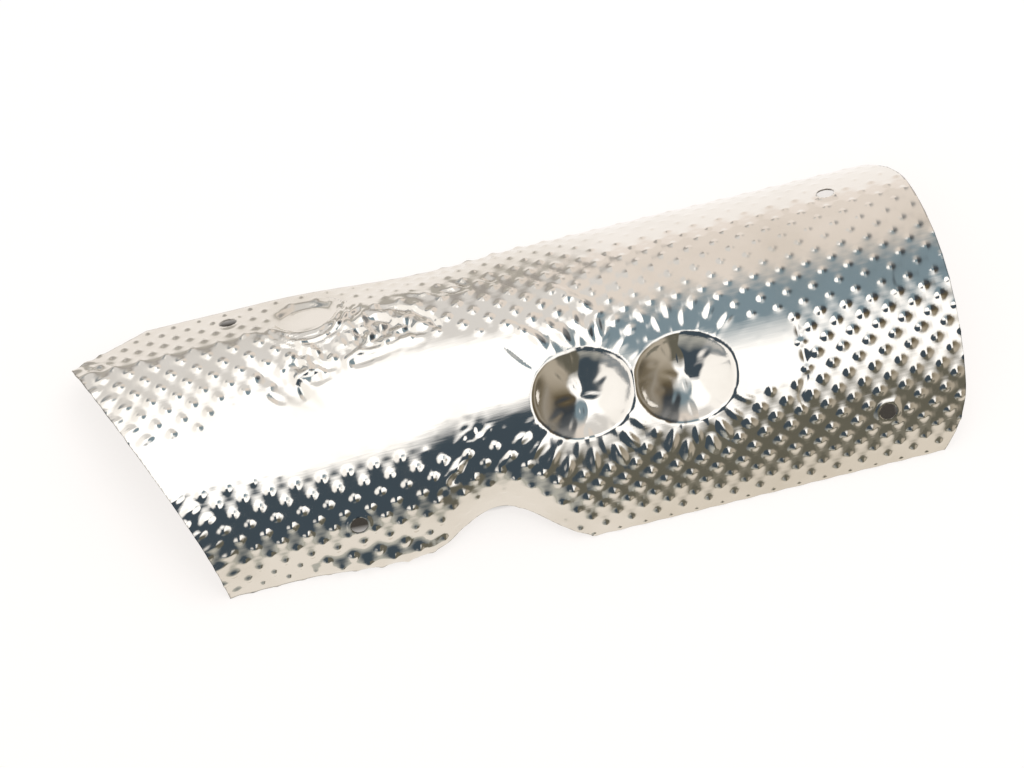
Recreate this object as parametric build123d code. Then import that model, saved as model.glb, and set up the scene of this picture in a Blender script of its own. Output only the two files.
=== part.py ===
from build123d import *
import math
import os

# Exhaust heat shield: one thin embossed stainless sheet, pressed into a half-pipe.
# It lies on its two long edges like a tunnel. +X runs along the tunnel towards the square
# end, +Y to the back edge, +Z up. The origin is on the floor in the middle of the length.
# Places on the sheet are given by x and by the arc length from the crown, plus to the back.

# Sheet and trimmed outline, seen from above
SHEET = 0.5                     # thickness
LENGTH = 279.0                  # tip of the slanted end to the middle of the square end
END_BULGE = 5.0                 # how far the square end bows out over the width
END_CORNER = 22.0               # round corners of the square end
SLANT_SETBACK = 32.5            # front corner of the slanted end behind its tip
SLANT_FRONT = 42.0              # middle line to that front corner
TIP_Y = 40.5                    # middle line to the tip
TIP_TRIM = 30.0                 # length along which the back edge runs in towards the tip
SPARE = 1.5                     # the outline's long sides pass this far outside the standing edges
ALLOWANCE = 6.0                 # sheet formed past the outline and below the floor, then trimmed off

# Round form at the square end: an arch, straight only near the floor
ROUND_HEIGHT = 34.2
ROUND_RADIUS = 54.0
ROUND_SLOPE = 66.0              # slope of the wall where it turns straight, degrees

# Flatter form at the slanted end: broad crown, bend, straight wall
FLAT_HEIGHT = 27.0
FLAT_LENGTH = 64.5              # from the tip to where the form starts to change
FLAT_CROWN_RADIUS = 92.0
FLAT_BACK_CROWN_SLOPE = 22.0
FLAT_BACK_BEND_RADIUS = 8.0     # the soft ridge along the back
FLAT_BACK_WALL_SLOPE = 50.0
FLAT_FRONT_CROWN_SLOPE = 12.0
FLAT_FRONT_BEND_RADIUS = 25.0
FLAT_FRONT_WALL_SLOPE = 67.0

# Change from the flat to the round form, with a neck pressed into its front wall
CHANGE_LENGTH = 87.0
NECK_HALF_LENGTH = 29.0         # the neck ends where the round form starts
NECK_CROWN_RADIUS = 58.0
NECK_CROWN_SLOPE = 24.0
NECK_BEND_RADIUS = 16.0
NECK_WALL_SLOPE = 80.0
NECK_RELIEF = 6.0               # height of the shallow arch trimmed out of the edge there

# Two round pockets side by side
POCKET_RADIUS = 16.4            # at the rim
POCKET_DEPTH = 8.0
POCKET_PITCH = 33.0
POCKET_INSET = 21.0             # start of the round form to the middle between the two
POCKET_ARC = -13.5
POCKET_TURN = -5.0              # the row runs slightly off the middle line, degrees

# Shallow round pad on the back
PAD_FROM_TIP = 77.0
PAD_ARC = 44.0
PAD_FLOOR_RADIUS = 9.0
PAD_DEPTH = 1.6
PAD_WALL_SLOPE = 40.0
PAD_RIM = 4.8                   # floor up to where its wall has left the curved skin all round

# Screw holes: two near the slanted end, a pair near the square end
HOLE_DIAMETER = 5.6
BACK_HOLE_FROM_TIP = 52.5
BACK_HOLE_ARC = 52.0
FRONT_HOLE_FROM_TIP = 77.5
FRONT_HOLE_ARC = -35.0
PAIR_FROM_SQUARE_END = 28.5
PAIR_ARC = 42.0

# Raised square pips all over, in a square pattern that stands on its corners
PIP_PITCH = 6.05                # between neighbours
PIP_WIDTH = 3.3
PIP_HEIGHT = 0.7
PIP_FOOT = 0.1                  # how far a pip's foot is sunk into the skin
PIP_FROM_SQUARE_END = 30.1      # a pip on the crown
PIP_MARGIN = 4.1                # a pip's middle to the nearest edge, hole or pad

# Where the pressing has drawn the pips flat
POCKET_DRAWN = 7.5              # past the pockets' rims
NECK_DRAWN = 21.0               # round the middle of the neck's edge
CROWN_DRAWN_FROM_TIP = 32.0     # along the crown of the flatter form
CROWN_DRAWN_LENGTH = 116.0
CROWN_DRAWN_HALF_WIDTH = 16.0
CRUMPLE_FROM_TIP = 60.0         # between that crown and the pad
CRUMPLE_LENGTH = 64.0
CRUMPLE_ARC = 40.0

SECTION_STEP = 4.8              # between the sections drawn along the change of form

TIP_X = -LENGTH / 2
SQUARE_END_X = LENGTH / 2
FLAT_UNTIL = TIP_X + FLAT_LENGTH
ROUND_FROM = FLAT_UNTIL + CHANGE_LENGTH
NECK_X = ROUND_FROM - NECK_HALF_LENGTH
ROW = PIP_PITCH / math.sqrt(2)

# Half sections as (radius, slope at its end) of the crown and of the bend, with a straight wall below
FLAT_BACK = ((FLAT_CROWN_RADIUS, FLAT_BACK_CROWN_SLOPE), (FLAT_BACK_BEND_RADIUS, FLAT_BACK_WALL_SLOPE))
FLAT_FRONT = ((FLAT_CROWN_RADIUS, FLAT_FRONT_CROWN_SLOPE), (FLAT_FRONT_BEND_RADIUS, FLAT_FRONT_WALL_SLOPE))
NECK_FRONT = ((NECK_CROWN_RADIUS, NECK_CROWN_SLOPE), (NECK_BEND_RADIUS, NECK_WALL_SLOPE))
ROUND_SIDE = ((ROUND_RADIUS, ROUND_SLOPE / 2), (ROUND_RADIUS, ROUND_SLOPE))

# Where each form is whole, as (x, side)
FORMS = ((FLAT_UNTIL, 1), (FLAT_UNTIL, -1), (ROUND_FROM, 1), (ROUND_FROM, -1))

# Places as (x, arc)
HOLES = (
    (TIP_X + BACK_HOLE_FROM_TIP, BACK_HOLE_ARC),
    (TIP_X + FRONT_HOLE_FROM_TIP, FRONT_HOLE_ARC),
    (SQUARE_END_X - PAIR_FROM_SQUARE_END, PAIR_ARC),
    (SQUARE_END_X - PAIR_FROM_SQUARE_END, -PAIR_ARC),
)
PAD = (TIP_X + PAD_FROM_TIP, PAD_ARC)


def pocket_places():
    angle = math.radians(POCKET_TURN)
    for along in (-POCKET_PITCH / 2, POCKET_PITCH / 2):
        yield ROUND_FROM + POCKET_INSET + along * math.cos(angle), POCKET_ARC + along * math.sin(angle)


def ease(value):
    value = min(max(value, 0.0), 1.0)
    return value * value * (3 - 2 * value)


def roundness(x, side):
    """0 in the flat form, 1 in the round form. The front wall changes only along the neck."""
    change = CHANGE_LENGTH if side > 0 else 2 * NECK_HALF_LENGTH
    return ease(1 - (ROUND_FROM - x) / change)


def neck(x):
    """1 in the middle of the neck, 0 away from it."""
    return ease(1 - abs(x - NECK_X) / NECK_HALF_LENGTH)


def crown_height(x):
    return FLAT_HEIGHT + (ROUND_HEIGHT - FLAT_HEIGHT) * roundness(x, 1)


def mixed(first, second, share):
    """A half section part of the way from one to another, radii in proportion and slopes evenly."""
    return tuple(
        (radius ** (1 - share) * to_radius ** share, (1 - share) * slope + share * to_slope)
        for (radius, slope), (to_radius, to_slope) in zip(first, second)
    )


def half_section(x, side):
    """The half section at x, side +1 at the back and -1 at the front."""
    if side > 0:
        return mixed(FLAT_BACK, ROUND_SIDE, roundness(x, side))
    return mixed(mixed(FLAT_FRONT, ROUND_SIDE, roundness(x, side)), NECK_FRONT, neck(x))


def half_point(half, arc, depth):
    """How far out and down a half section has gone after an arc length, at a depth below its outer skin."""
    out = 0.0
    down = 0.0
    slope = 0.0
    for radius, end_slope in half:
        run = min(arc, radius * (math.radians(end_slope) - slope))
        bent = slope + run / radius
        out += radius * (math.sin(bent) - math.sin(slope))
        down += radius * (math.cos(slope) - math.cos(bent))
        slope = bent
        arc -= run
    out += arc * math.cos(slope) - depth * math.sin(slope)
    down += arc * math.sin(slope) + depth * math.cos(slope)
    return out, down


def bend_arcs(half):
    """Arc lengths to the end of the crown and to the end of the bend."""
    (crown_radius, crown_slope), (bend_radius, wall_slope) = half
    crown_end = crown_radius * math.radians(crown_slope)
    return crown_end, crown_end + bend_radius * math.radians(wall_slope - crown_slope)


def edge_arc(x, side):
    """Arc length to the floor."""
    half = half_section(x, side)
    bend_end = bend_arcs(half)[1]
    bend_drop = half_point(half, bend_end, 0)[1]
    wall_slope = math.radians(half[1][1])
    return bend_end + (crown_height(x) - bend_drop) / math.sin(wall_slope)


def sheet_point(x, arc, depth=0.0):
    side = 1 if arc >= 0 else -1
    out, down = half_point(half_section(x, side), abs(arc), depth)
    return Vector(x, side * out, crown_height(x) - down)


def sheet_plane(x, arc):
    """Plane on the outer skin at that place, with its normal pointing out of the sheet."""
    step = SHEET / 2
    along = sheet_point(x + step, arc) - sheet_point(x - step, arc)
    across = sheet_point(x, arc + step) - sheet_point(x, arc - step)
    return Plane(origin=sheet_point(x, arc), x_dir=along, z_dir=along.cross(across))


def rows_a_side():
    """Rows of pips from the crown to past the lower edge."""
    longest = max(edge_arc(x, side) for x, side in FORMS)
    return math.ceil((longest + ALLOWANCE) / ROW)


def row_plane(x, row):
    """Plane on the narrow flat that carries a row of pips, with its normal pointing out of the sheet."""
    front = sheet_point(x, (row - 0.5) * ROW)
    back = sheet_point(x, (row + 0.5) * ROW)
    along = sheet_point(x + SHEET, row * ROW) - sheet_point(x - SHEET, row * ROW)
    return Plane(origin=(front + back) / 2, x_dir=along, z_dir=along.cross(back - front))


def section(x, depth):
    """Everything under the sheet in the section at x, with one narrow flat for each row of pips."""
    rows = rows_a_side()
    corners = [sheet_point(x, (row + 0.5) * ROW, depth) for row in range(-rows - 1, rows + 1)]
    return Face(Wire.make_polygon(corners))


def filled(depth):
    """Everything under the formed sheet, a depth below its outer skin and somewhat past its ends."""
    past = ALLOWANCE + depth
    steps = math.ceil(CHANGE_LENGTH / SECTION_STEP)
    changing = loft([section(FLAT_UNTIL + CHANGE_LENGTH * i / steps, depth) for i in range(steps + 1)])
    flat = extrude(section(FLAT_UNTIL, depth), amount=FLAT_LENGTH + past, dir=(-1, 0, 0))
    arched = extrude(section(ROUND_FROM, depth), amount=SQUARE_END_X - ROUND_FROM + past, dir=(1, 0, 0))
    return flat + changing + arched


def half_width():
    """Middle line to the outline's long sides."""
    return SPARE + max(side * sheet_point(x, side * edge_arc(x, side)).Y for x, side in FORMS)


def outline():
    """Everything inside the trimmed outline seen from above, from the floor up."""
    side = half_width()
    corner_x = SQUARE_END_X - END_BULGE
    front_left = TIP_X + SLANT_SETBACK * (side + TIP_Y) / (SLANT_FRONT + TIP_Y)
    with BuildSketch() as plan:
        with BuildLine():
            ThreePointArc((corner_x, side), (SQUARE_END_X, 0), (corner_x, -side))
            Polyline(
                (corner_x, -side),
                (front_left, -side),
                (TIP_X, TIP_Y),
                (TIP_X + TIP_TRIM, side),
                (corner_x, side),
            )
        make_face()
        fillet(plan.vertices().sort_by(Axis.X)[-2:], END_CORNER)
    return extrude(plan.sketch, amount=LENGTH) - neck_relief()


def neck_relief():
    """The shallow arch trimmed out of the front edge at the neck."""
    start = (NECK_X - NECK_HALF_LENGTH, 0)
    end = (NECK_X + NECK_HALF_LENGTH, 0)
    with BuildSketch(Plane.XZ) as arch:
        with BuildLine():
            ThreePointArc(start, (NECK_X, NECK_RELIEF), end)
            Line(end, start)
        make_face()
    return extrude(arch.sketch, amount=LENGTH)


def pressed(sheet, outer, wall, void):
    """The sheet with a hollow pressed into it: the wall follows the void one sheet thickness outside it."""
    return sheet - wall + (wall & outer) - void


def pocket_balls(growth):
    """Both round pockets, as balls that dip into the sheet."""
    radius = (POCKET_RADIUS ** 2 + POCKET_DEPTH ** 2) / (2 * POCKET_DEPTH)
    ball = Rot(90, 0, 0) * Sphere(radius + growth)
    first, second = [sheet_plane(*place).offset(radius - POCKET_DEPTH) * ball for place in pocket_places()]
    return first + second


def pad_radius(rise):
    """Radius of the pad at a height above its floor."""
    return PAD_FLOOR_RADIUS + rise / math.tan(math.radians(PAD_WALL_SLOPE))


def pad_cone(growth):
    """The shallow pad, as a cone standing on its flat floor."""
    wider = growth / math.sin(math.radians(PAD_WALL_SLOPE))
    cone = Cone(
        pad_radius(-growth) + wider,
        pad_radius(PAD_RIM) + wider,
        PAD_RIM + growth,
        align=(Align.CENTER, Align.CENTER, Align.MIN),
    )
    return sheet_plane(*PAD).offset(-PAD_DEPTH - growth) * cone


def screw_holes():
    return [sheet_plane(*place) * Cylinder(HOLE_DIAMETER / 2, HOLE_DIAMETER) for place in HOLES]


def pip():
    """One raised pip, a low square pyramid."""
    foot_width = PIP_WIDTH * (PIP_HEIGHT + PIP_FOOT) / PIP_HEIGHT
    square = Pos(0, 0, -PIP_FOOT) * Rectangle(foot_width, foot_width)
    return Solid.make_loft([square.wire(), Vertex(0, 0, PIP_HEIGHT)], True)


def drawn_flat(x, arc):
    """Whether the pressing, a hole or the pad leaves no pip at that place."""
    along_crown = x - TIP_X - CROWN_DRAWN_FROM_TIP
    along_crumple = x - TIP_X - CRUMPLE_FROM_TIP
    if 0 < along_crown < CROWN_DRAWN_LENGTH and abs(arc) < CROWN_DRAWN_HALF_WIDTH:
        return True
    if 0 < along_crumple < CRUMPLE_LENGTH and 0 < arc < CRUMPLE_ARC:
        return True
    plain = [(place, HOLE_DIAMETER / 2 + PIP_MARGIN) for place in HOLES]
    plain += [(place, POCKET_RADIUS + POCKET_DRAWN) for place in pocket_places()]
    plain.append((PAD, pad_radius(PAD_DEPTH) + PIP_MARGIN))
    plain.append(((NECK_X, -edge_arc(NECK_X, -1)), NECK_DRAWN))
    return any(math.dist((x, arc), place) < radius for place, radius in plain)


def pip_places(trimmed):
    """Places of the pips inside the trimmed outline, as x and row."""
    around = ((PIP_MARGIN, 0), (-PIP_MARGIN, 0), (0, PIP_MARGIN), (0, -PIP_MARGIN))
    columns = math.ceil(LENGTH / ROW)
    rows = rows_a_side()
    for row in range(-rows, rows + 1):
        for column in range(-columns + row % 2, columns, 2):
            x = SQUARE_END_X - PIP_FROM_SQUARE_END + column * ROW
            arc = row * ROW
            inside = all(trimmed.is_inside(sheet_point(x + dx, arc + da)) for dx, da in around)
            if inside and not drawn_flat(x, arc):
                yield x, row


def heat_shield():
    trimmed = outline()
    outer = filled(0) & trimmed
    sheet = outer - filled(SHEET)
    sheet = pressed(sheet, outer, pocket_balls(SHEET), pocket_balls(0))
    sheet = pressed(sheet, outer, pad_cone(SHEET), pad_cone(0))
    sheet -= screw_holes()
    one_pip = pip()
    sheet = sheet.fuse(*[row_plane(*place).location * one_pip for place in pip_places(trimmed.solid())])
    return Pos(0, -sheet.bounding_box().center().Y, 0) * sheet


os.makedirs("parts", exist_ok=True)
export_step(heat_shield(), "parts/heat_shield.step")
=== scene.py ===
import math
import random

import bmesh
import bpy
from bpy.props import FloatProperty, FloatVectorProperty, PointerProperty
from mathutils import Matrix, Vector, noise


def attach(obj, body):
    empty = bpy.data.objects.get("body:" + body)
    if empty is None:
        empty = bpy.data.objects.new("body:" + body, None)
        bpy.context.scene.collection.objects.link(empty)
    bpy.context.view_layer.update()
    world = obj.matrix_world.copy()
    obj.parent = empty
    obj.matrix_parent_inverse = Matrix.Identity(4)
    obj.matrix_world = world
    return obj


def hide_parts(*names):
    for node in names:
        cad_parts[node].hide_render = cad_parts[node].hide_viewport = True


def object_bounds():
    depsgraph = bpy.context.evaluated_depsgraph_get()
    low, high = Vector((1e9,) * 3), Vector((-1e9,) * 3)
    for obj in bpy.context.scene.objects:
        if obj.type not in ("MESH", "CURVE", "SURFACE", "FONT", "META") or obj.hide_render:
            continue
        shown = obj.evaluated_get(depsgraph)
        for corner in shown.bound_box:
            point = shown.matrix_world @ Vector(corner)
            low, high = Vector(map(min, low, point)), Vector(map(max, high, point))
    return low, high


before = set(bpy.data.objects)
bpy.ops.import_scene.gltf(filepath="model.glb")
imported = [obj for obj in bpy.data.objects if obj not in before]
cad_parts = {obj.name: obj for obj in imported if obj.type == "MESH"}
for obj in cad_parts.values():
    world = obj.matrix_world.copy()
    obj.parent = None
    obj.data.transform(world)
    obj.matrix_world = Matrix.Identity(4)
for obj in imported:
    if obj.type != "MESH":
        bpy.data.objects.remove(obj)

bl_info = {
    "name": "Exhaust heat shield",
    "version": (1, 0, 0),
    "blender": (4, 5, 0),
    "location": "View3D > Sidebar > Heat Shield",
    "description": "An embossed, trimmed and pressed heat shield sheet with its stage",
    "category": "Object",
}

CAD_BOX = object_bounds()
MM = 0.001

# The trimmed sheet and its form, the same as in the part's source.
# Places on the sheet are given by x and by the arc length from the crown, plus to the back.
SHEET = 0.5 * MM
LENGTH = 279 * MM
END_BULGE = 5 * MM
END_CORNER = 22 * MM
SLANT_SETBACK = 32.5 * MM
SLANT_FRONT = 42 * MM
TIP_Y = 40.5 * MM
TIP_TRIM = 30 * MM
SPARE = 1.5 * MM
ROUND_HEIGHT = 34.2 * MM
ROUND_RADIUS = 54 * MM
ROUND_SLOPE = 66
FLAT_HEIGHT = 27 * MM
FLAT_LENGTH = 64.5 * MM
FLAT_CROWN_RADIUS = 92 * MM
FLAT_BACK_CROWN_SLOPE = 22
FLAT_BACK_BEND_RADIUS = 8 * MM
FLAT_BACK_WALL_SLOPE = 50
FLAT_FRONT_CROWN_SLOPE = 12
FLAT_FRONT_BEND_RADIUS = 25 * MM
FLAT_FRONT_WALL_SLOPE = 67
CHANGE_LENGTH = 87 * MM
NECK_HALF_LENGTH = 29 * MM
NECK_CROWN_RADIUS = 58 * MM
NECK_CROWN_SLOPE = 24
NECK_BEND_RADIUS = 16 * MM
NECK_WALL_SLOPE = 80
NECK_RELIEF = 6 * MM
POCKET_RADIUS = 16.4 * MM
POCKET_PITCH = 33 * MM
POCKET_INSET = 21 * MM
POCKET_ARC = -13.5 * MM
POCKET_TURN = -5
POCKET_FULLNESS = 2
PAD_FROM_TIP = 77 * MM
PAD_ARC = 44 * MM
PAD_FLOOR_RADIUS = 9 * MM
PAD_WALL_SLOPE = 40
BACK_HOLE_FROM_TIP = 52.5 * MM
BACK_HOLE_ARC = 52 * MM
FRONT_HOLE_FROM_TIP = 77.5 * MM
FRONT_HOLE_ARC = -35 * MM
PAIR_FROM_SQUARE_END = 28.5 * MM
PAIR_ARC = 42 * MM
DOT_PITCH = 6.05 * MM
DOT_FROM_SQUARE_END = 30.1 * MM

TIP_X = -LENGTH / 2
SQUARE_END_X = LENGTH / 2
FLAT_UNTIL = TIP_X + FLAT_LENGTH
ROUND_FROM = FLAT_UNTIL + CHANGE_LENGTH
NECK_X = ROUND_FROM - NECK_HALF_LENGTH
ROW = DOT_PITCH / math.sqrt(2)
# A dot on the crown
DOT_X = SQUARE_END_X - DOT_FROM_SQUARE_END

# Half sections as (radius, slope at its end) of crown and bend, with a straight wall below
FLAT_BACK = (
    (FLAT_CROWN_RADIUS, FLAT_BACK_CROWN_SLOPE),
    (FLAT_BACK_BEND_RADIUS, FLAT_BACK_WALL_SLOPE),
)
FLAT_FRONT = (
    (FLAT_CROWN_RADIUS, FLAT_FRONT_CROWN_SLOPE),
    (FLAT_FRONT_BEND_RADIUS, FLAT_FRONT_WALL_SLOPE),
)
NECK_FRONT = ((NECK_CROWN_RADIUS, NECK_CROWN_SLOPE), (NECK_BEND_RADIUS, NECK_WALL_SLOPE))
ROUND_SIDE = ((ROUND_RADIUS, ROUND_SLOPE / 2), (ROUND_RADIUS, ROUND_SLOPE))

# Places as (x, arc)
HOLES = (
    (TIP_X + BACK_HOLE_FROM_TIP, BACK_HOLE_ARC),
    (TIP_X + FRONT_HOLE_FROM_TIP, FRONT_HOLE_ARC),
    (SQUARE_END_X - PAIR_FROM_SQUARE_END, PAIR_ARC),
    (SQUARE_END_X - PAIR_FROM_SQUARE_END, -PAIR_ARC),
)
PAD = (TIP_X + PAD_FROM_TIP, PAD_ARC)
POCKETS = tuple(
    (
        ROUND_FROM + POCKET_INSET + along * math.cos(math.radians(POCKET_TURN)),
        POCKET_ARC + along * math.sin(math.radians(POCKET_TURN)),
    )
    for along in (-POCKET_PITCH / 2, POCKET_PITCH / 2)
)

# The blank's mesh: so many quads from one row of dots to the next
QUADS_A_ROW = 6
QUAD = ROW / QUADS_A_ROW
ROWS_A_SIDE = 16
# How much closer its lines stand where the dots are, 0 for even lines
LINES_TO_DOTS = 0.25
# A cut this close to a vertex goes through it
SNAP = 0.22 * QUAD
# The step for slopes of the form and of the outline
SMALL_STEP = 0.1 * MM
# Moves that bring a cut vertex onto its line, and the least squared slope they reckon with
SLIDES = 3
LEAST_SQUARED_SLOPE = 0.05

# Seed and range of the dots' chance heights, and how much of its radius a low dot keeps
DOT_SEED = 5
DOT_CHANCE = (0.88, 1.06)
LOW_DOT_RADIUS = 0.65

# The smooth band that the press leaves along the crown, as (x, arc) along its two sides
# in millimetres
BAND_BACK = (
    (-118, 4.5), (-104, 8), (-81, 18), (-70, 13), (-53, 16), (-36, 20), (-19, 20), (-4, 14), (8, 4),
)
BAND_FRONT = (
    (-114, -11), (-89, -13), (-77, -14), (-60, -15), (-44, -16), (-29, -19), (-12, -18), (8, -16),
)
# A second smooth place beside the right pocket, as its first and last x and arc in millimetres
PATCH = ((64, -25), (87, -3))
# How much of a dot stays on them, and how wide their edges fade
SMOOTH_KEEPS = 0.04
BAND_FADE = 3 * MM
PATCH_FADE = 2 * MM

# The dots are lower behind the crown of the round form, and higher towards the front edge:
# by how much, and between which places the change lies
LOWER_BACK = 0.5
LOWER_ACROSS = (-7 * MM, 1 * MM)
LOWER_ALONG = (ROUND_FROM, ROUND_FROM + 30 * MM)
HIGHER_FRONT = 0.35
HIGHER_ACROSS = (25 * MM, 37 * MM)

# How much longer the press draws the dots round the pockets and beside the slant,
# and between which distances that fades
POCKET_PULL = 1.6
POCKET_PULL_FADE = (POCKET_RADIUS + 6 * MM, POCKET_RADIUS + 11 * MM)
SLANT_PULL = 1.3
SLANT_PULL_RISE = (-12 * MM, 0.0)

# Folds from handling and pressing, as (x, arc) of both ends, half width and height in millimetres
FOLDS = (
    # right of the pad
    (-54, 51, -54, 37, 1.2, -1.05),
    (-54, 37, -59, 32, 1.0, -0.6),
    (-53, 42, -48, 48, 1.0, -0.75),
    (-54, 36, -44, 44, 1.0, -0.75),
    (-49, 35, -45, 39, 1.4, -1.2),
    (-44, 33, -37, 30, 1.4, -1.2),
    (-39, 37, -30, 33, 1.1, -1.05),
    (-30, 33, -23, 26, 1.1, -0.9),
    (-51, 31, -46, 28, 1.0, -0.9),
    (-47, 23, -35, 23, 1.0, 0.75),
    (-35, 25, -27, 22, 1.3, -0.75),
    (-54, 19, -50, 21, 1.0, 0.6),
    (-50, 21, -40, 20, 1.0, 0.6),
    (-40, 20, -31, 22, 1.0, 0.6),
    (-54, 17, -40, 18, 1.0, -0.52),
    (-36, 45, -17, 34, 1.0, 0.6),
    (-24, 26, -22, 22, 0.9, -0.75),
    (-18, 38, -12, 36, 0.9, -0.75),
    (-14, 43, -9, 38, 0.9, -0.75),
    (-4, 40, 0, 38, 0.9, -0.68),
    # between the pad and the crown
    (-62, 19, -58, 18, 1.0, -0.9),
    (-66, 15, -60, 15, 1.2, -0.75),
    (-72, 18, -58, 19, 1.0, 0.68),
    (-70, 16, -69, 10, 0.9, -0.75),
    (-80, 14, -76, 10, 0.9, -0.45),
    (-84, 39, -79, 39, 1.2, 0.52),
    (-79, 39, -74, 33, 1.2, 0.52),
    (-74, 33, -67, 30, 1.2, 0.52),
    (-67, 30, -61, 25, 1.2, 0.52),
    (-62, 28, -60, 24, 0.9, -0.6),
    (-82, 24, -66, 6, 4.0, -0.9),
    # drawn towards the pockets
    (-4, 10, 4, -1, 1.0, -0.45),
    (-1, 18, 9, 6, 1.1, 0.4),
    (11, 14, 17, 4, 1.2, 0.5),
    (20, 12, 24, 4, 1.1, 0.45),
    (16, 28, 22, 21, 1.5, 0.6),
    (22, 21, 26, 15, 1.5, 0.6),
    (27, 14, 26, 2, 1.1, 0.4),
    # on the neck
    (-37, -31, -23, -21, 1.2, 0.5),
    (-36, -33, -22, -23, 1.0, -0.45),
    (-16, -29, -10, -25, 1.0, 0.4),
    (-27, -18, -21, -14, 1.0, 0.35),
    (-21, -19, -14, -15, 1.0, 0.35),
    # the flared front edge, left of the neck
    (-78, -50, -33, -54, 5.0, 2.8),
    # near the square end
    (88, -6, 88, -22, 1.0, -0.25),
    (88, -22, 84, -29, 1.0, -0.25),
    (84, -29, 85, -35, 1.0, -0.25),
    (122, 3, 120, -8, 0.9, 0.12),
    # at the tip
    (-136, 44, -129, 39, 0.8, -0.6),
    (-133, 46, -125, 41, 0.8, -0.5),
)
# How much of its width a fold keeps at its pointed ends
FOLD_POINT = 0.4

# Where the sheet is crumpled, as x, arc and radius in millimetres, and how much
CRUMPLES = ((-46, 30, 15, 1.0), (-32, 27, 12, 1.0), (-66, 20, 12, 1.0), (-20, -16, 9, 0.35))
# Size of the creases in millimetres, their level, and size and share of the fine ones
CREASE = 5
CREASE_LEVEL = 0.3
FINE_CREASE = 2.5
FINE_SHARE = 0.4

# Ring folds round the pad, by the distance from its floor: where they begin and end, their pitch,
# and how much more there are of them to the front right
RING_BEGIN = (2 * MM, 3 * MM)
RING_END = (5 * MM, 9 * MM)
RING_PITCH = 2.4 * MM
RING_LEAN = 0.7

# The raised rims of the holes: how far from the hole they are highest, and their half width
RIM_TOP = 0.5 * MM
RIM_WIDTH = 0.7 * MM

# Length of the sheet's waves and ripples in millimetres, and the ripples' share
WAVE = 34
RIPPLE = 13
RIPPLE_SHARE = 0.4

# The pressing tools: how far they reach, and the rounded corner at their rims
POCKET_REACH = 1.25 * POCKET_RADIUS
POCKET_CORNER = 0.7 * MM
PAD_REACH = 2 * PAD_FLOOR_RADIUS
PAD_CORNER = 1.2 * MM
# Length over which the pockets' walls are uneven, and how much the flattened dots show in them
UNEVEN = 9 * MM
DOTS_IN_POCKETS = 1.4


class ShieldSizes(bpy.types.PropertyGroup):
    """Sizes of the pressed and embossed sheet."""

    sheet: FloatProperty(
        name="Sheet", description="Thickness of the sheet", default=SHEET, unit="LENGTH"
    )
    dot_height: FloatProperty(
        name="Dot height", description="How far a dot stands up", default=0.6 * MM, unit="LENGTH"
    )
    dot_radius: FloatProperty(
        name="Dot radius", description="Radius of a dot at its foot", default=2.1 * MM,
        unit="LENGTH"
    )
    dimple_depth: FloatProperty(
        name="Dimple depth", description="Depth of the dimples between the dots",
        default=0.1 * MM, unit="LENGTH"
    )
    pocket_depth: FloatProperty(
        name="Pocket depth", description="Depth of the two round pockets", default=8 * MM,
        unit="LENGTH"
    )
    pocket_uneven: FloatProperty(
        name="Pocket unevenness", description="How uneven the pockets' walls are",
        default=0.4 * MM, unit="LENGTH"
    )
    pad_depth: FloatProperty(
        name="Pad depth", description="Depth of the round pad", default=1.6 * MM, unit="LENGTH"
    )
    hole: FloatProperty(
        name="Hole", description="Diameter of the screw holes", default=5.6 * MM, unit="LENGTH"
    )
    wave: FloatProperty(
        name="Wave", description="Height of the sheet's slight waves", default=0.12 * MM,
        unit="LENGTH"
    )
    crumple: FloatProperty(
        name="Crumple", description="Height of the crumples beside the pad", default=1.8 * MM,
        unit="LENGTH"
    )
    ring: FloatProperty(
        name="Ring folds", description="Height of the ring folds round the pad",
        default=0.42 * MM, unit="LENGTH"
    )
    hole_rim: FloatProperty(
        name="Hole rim", description="How far the holes' rims stand up", default=0.45 * MM,
        unit="LENGTH"
    )


class ShieldFinish(bpy.types.PropertyGroup):
    """Colours and gloss."""

    steel: FloatVectorProperty(
        name="Steel", description="Colour of the clean bright sheet",
        default=(0.82, 0.785, 0.735), subtype="COLOR", min=0, max=1
    )
    smudge: FloatVectorProperty(
        name="Smudges", description="Colour of the handled, slightly dull places",
        default=(0.74, 0.70, 0.64), subtype="COLOR", min=0, max=1
    )
    roughness: FloatProperty(
        name="Roughness", description="Roughness of the clean bright sheet", default=0.07,
        subtype="FACTOR", min=0, max=1
    )
    floor: FloatVectorProperty(
        name="Floor", description="Colour of the floor", default=(0.92, 0.93, 0.94),
        subtype="COLOR", min=0, max=1
    )


def ease(value):
    """A smooth rise from 0 to 1, level outside."""
    value = min(max(value, 0.0), 1.0)
    return value * value * (3 - 2 * value)


def rise(value, span):
    """0 before a span and 1 after it, with a smooth rise between."""
    first, last = span
    return ease((value - first) / (last - first))


def roundness(x, side):
    """0 in the flat form, 1 in the round form. The front wall changes only along the neck."""
    change = CHANGE_LENGTH if side > 0 else 2 * NECK_HALF_LENGTH
    return ease(1 - (ROUND_FROM - x) / change)


def neck(x):
    """1 in the middle of the neck, 0 away from it."""
    return ease(1 - abs(x - NECK_X) / NECK_HALF_LENGTH)


def crown_height(x):
    """Height of the crown above the floor."""
    return FLAT_HEIGHT + (ROUND_HEIGHT - FLAT_HEIGHT) * roundness(x, 1)


def mixed(first, second, share):
    """A half section part of the way from one to another, radii in proportion and slopes evenly."""
    return tuple(
        (radius ** (1 - share) * to_radius ** share, (1 - share) * slope + share * to_slope)
        for (radius, slope), (to_radius, to_slope) in zip(first, second)
    )


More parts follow.
